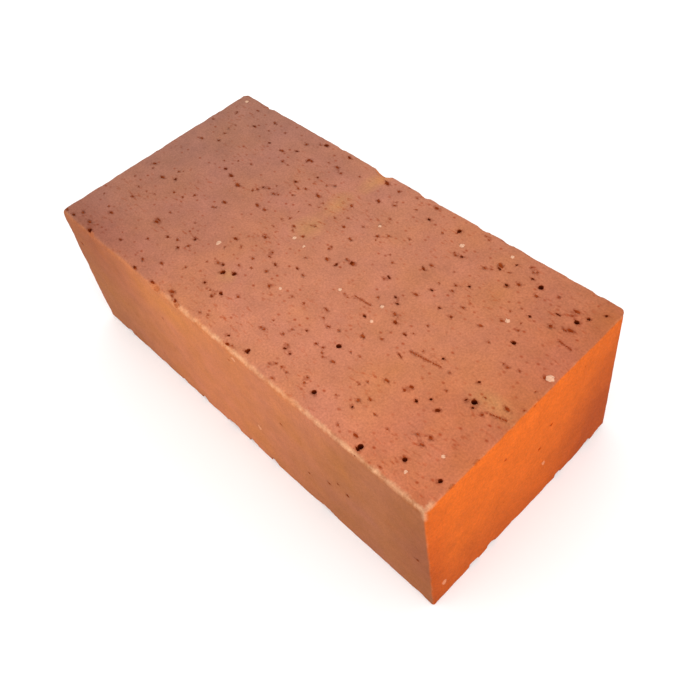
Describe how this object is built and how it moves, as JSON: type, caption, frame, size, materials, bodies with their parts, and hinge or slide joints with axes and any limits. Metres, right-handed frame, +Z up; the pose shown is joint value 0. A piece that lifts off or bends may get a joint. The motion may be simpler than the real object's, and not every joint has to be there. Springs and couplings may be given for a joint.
{
  "type": "magnesia brick",
  "caption": "Plain rectangular fired refractory brick with small worn arrises, chipped edges and open pores in its bed face, laid flat to line furnaces and kilns.",
  "frame": {"origin": "middle of the lower bed face, on the floor that the brick lies on", "axes": "+X along the length towards the end face that shows in the picture, +Y across the width towards the back stretcher, +Z up from bed face to bed face"},
  "size_m": [0.23, 0.114, 0.076],
  "materials": {
    "fired_magnesia": "matte, fired, porous"
  },
  "bodies": {
    "root": {"brick": "fired_magnesia"}
  },
  "joints": []
}
